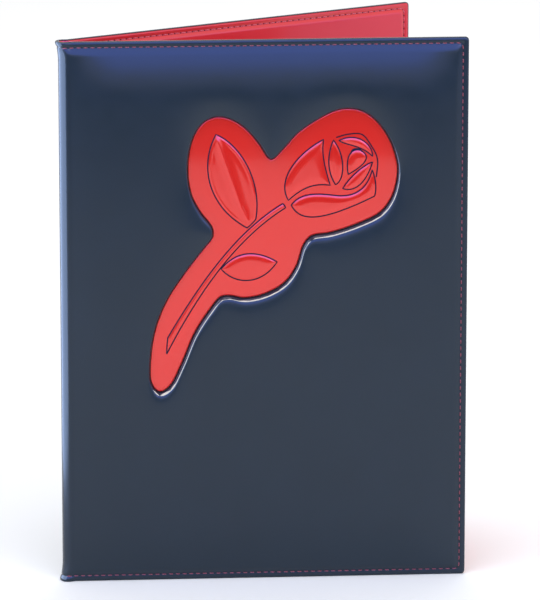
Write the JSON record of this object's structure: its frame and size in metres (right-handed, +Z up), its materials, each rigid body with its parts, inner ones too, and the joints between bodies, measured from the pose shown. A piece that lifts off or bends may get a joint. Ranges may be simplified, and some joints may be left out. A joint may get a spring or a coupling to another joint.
{
  "type": "padded menu cover",
  "caption": "Bifold padded leatherette menu cover standing open, with a soft spine, a glossy lining and a pressed metal rose emblem set in its front.",
  "frame": {"origin": "centre of the bounding box's footprint, on the surface the cover stands on", "axes": "+Z up along the spine, +X from the spine to the front cover's free edge, -Y out of the front cover's face"},
  "size_m": [0.2368, 0.1136, 0.32],
  "materials": {
    "leather": "smooth satin leatherette, near-black navy",
    "lining": "glossy red leatherette",
    "foam": "soft foam",
    "board": "raw grey board",
    "plate": "pressed sheet with glossy red lacquer and dark linework",
    "tape": "foam tape",
    "outer_thread": "dull red sewing thread",
    "inner_thread": "pinkish red sewing thread"
  },
  "bodies": {
    "front_cover": {"front_cover_leather": "leather", "front_cover_foam": "foam", "front_cover_board": "board", "front_cover_lining": "lining", "front_cover_outer_thread": "outer_thread", "front_cover_inner_thread": "inner_thread", "emblem_plate": "plate", "emblem_tape": "tape"},
    "spine": {"spine_leather": "leather", "spine_lining": "lining", "spine_top_outer_thread": "outer_thread", "spine_top_inner_thread": "inner_thread", "spine_bottom_outer_thread": "outer_thread", "spine_bottom_inner_thread": "inner_thread"},
    "back_cover": {"back_cover_leather": "leather", "back_cover_foam": "foam", "back_cover_board": "board", "back_cover_lining": "lining", "back_cover_outer_thread": "outer_thread", "back_cover_inner_thread": "inner_thread"}
  },
  "joints": [
    {"name": "front_fold", "type": "hinge", "parent": "front_cover", "child": "spine", "pos_m": [-0.11321, -0.05379, 0], "axis": [0, 0, 1], "range_deg": [-13, 76.9]},
    {"name": "back_fold", "type": "hinge", "parent": "spine", "child": "back_cover", "pos_m": [-0.11537, -0.04449, 0], "axis": [0, 0, 1], "range_deg": [-13.1, 76.95]}
  ],
  "couplings": [
    {"joint": "back_fold", "follows": "front_fold", "ratio": 1}
  ]
}
